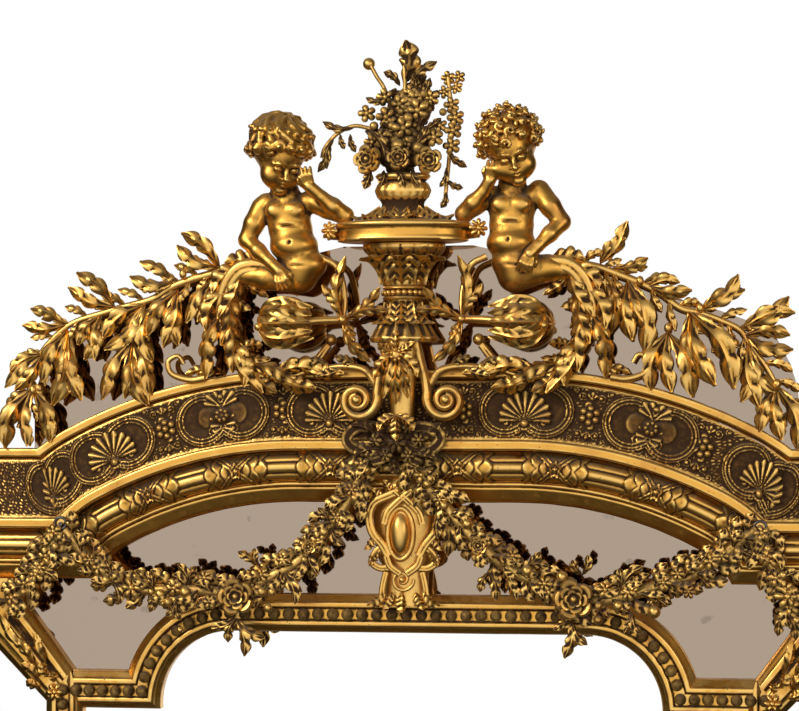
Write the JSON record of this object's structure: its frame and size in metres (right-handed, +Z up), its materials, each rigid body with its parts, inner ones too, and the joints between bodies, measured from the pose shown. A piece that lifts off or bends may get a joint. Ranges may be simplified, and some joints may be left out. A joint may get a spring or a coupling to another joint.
{
  "type": "trumeau mirror",
  "caption": "Tall wall mirror in a carved and gilt frame, with an arched head, pierced laurel crest, cherubs, urn and swagged garlands.",
  "frame": {"origin": "bottom centre of the mirror's back, in the plane of the wall", "axes": "+X to the viewer's right, +Z up, +Y into the wall, so the front faces -Y"},
  "size_m": [1.31, 0.1648, 2.298],
  "materials": {
    "burnished_gilt": "burnished gold leaf over clay on carved wood, bright where rubbed, with fine pits",
    "antique_gilt": "worn gold leaf on carved wood with brown patina in the hollows",
    "dark_gilt": "darkened gold leaf with heavy brown patina",
    "main_mirror": "silvered plate glass",
    "aged_mirror": "aged silvered glass, taupe and a little dull",
    "pine": "old raw pine, brown with age",
    "iron": "dark wrought iron",
    "brass_fittings": "dull old brass"
  },
  "bodies": {
    "frame": {"acanthus_scroll_left": "antique_gilt", "acanthus_scroll_right": "antique_gilt", "arch_frieze": "dark_gilt", "arch_reeded_moulding": "antique_gilt", "arch_sight_band": "burnished_gilt", "arch_top_fillet": "burnished_gilt", "backboard_main": "pine", "backboard_upper": "pine", "bottom_moulding": "burnished_gilt", "bouquet": "antique_gilt", "bow_cluster": "antique_gilt", "carcass_arch": "pine", "carcass_bottom_rail": "pine", "carcass_corner_blocks": "pine", "carcass_ear_left": "pine", "carcass_ear_right": "pine", "carcass_middle_rail": "pine", "carcass_stile_left": "pine", "carcass_stile_right": "pine", "cartouche_cabochon": "antique_gilt", "console_capital": "antique_gilt", "console_pedestal": "antique_gilt", "console_shelf": "antique_gilt", "console_volute_left": "antique_gilt", "console_volute_right": "antique_gilt", "corner_moulding_left": "burnished_gilt", "corner_moulding_right": "burnished_gilt", "crest_backboard": "pine", "crest_mirror_plate": "aged_mirror", "ear_moulding_left": "burnished_gilt", "ear_moulding_right": "burnished_gilt", "fixing_screws": "iron", "foot_corner_leaves": "antique_gilt", "frame_beads": "dark_gilt", "garland_hooks": "iron", "garland_left": "antique_gilt", "garland_right": "antique_gilt", "hanger_plates": "iron", "keystone_cartouche": "antique_gilt", "laurel_branch_left": "antique_gilt", "laurel_branch_right": "antique_gilt", "main_mirror_plate": "main_mirror", "putto_left": "antique_gilt", "putto_right": "antique_gilt", "rolled_leaf_left": "antique_gilt", "rolled_leaf_right": "antique_gilt", "shoulder_left": "burnished_gilt", "shoulder_right": "burnished_gilt", "step_moulding_left": "burnished_gilt", "step_moulding_right": "burnished_gilt", "stile_moulding_left": "burnished_gilt", "stile_moulding_right": "burnished_gilt", "top_moulding": "burnished_gilt", "upper_plate_left": "aged_mirror", "upper_plate_right": "aged_mirror", "urn": "antique_gilt", "wall_battens": "pine", "wall_plates": "brass_fittings"},
    "ring_left": {"hanger_ring_left": "iron"},
    "ring_right": {"hanger_ring_right": "iron"}
  },
  "joints": [
    {"name": "ring_left_swing", "type": "hinge", "parent": "frame", "child": "ring_left", "pos_m": [-0.512, -0.0026, 1.228], "axis": [1, 0, 0], "range_deg": [0, 175]},
    {"name": "ring_right_swing", "type": "hinge", "parent": "frame", "child": "ring_right", "pos_m": [0.512, -0.0026, 1.228], "axis": [1, 0, 0], "range_deg": [0, 175]}
  ]
}
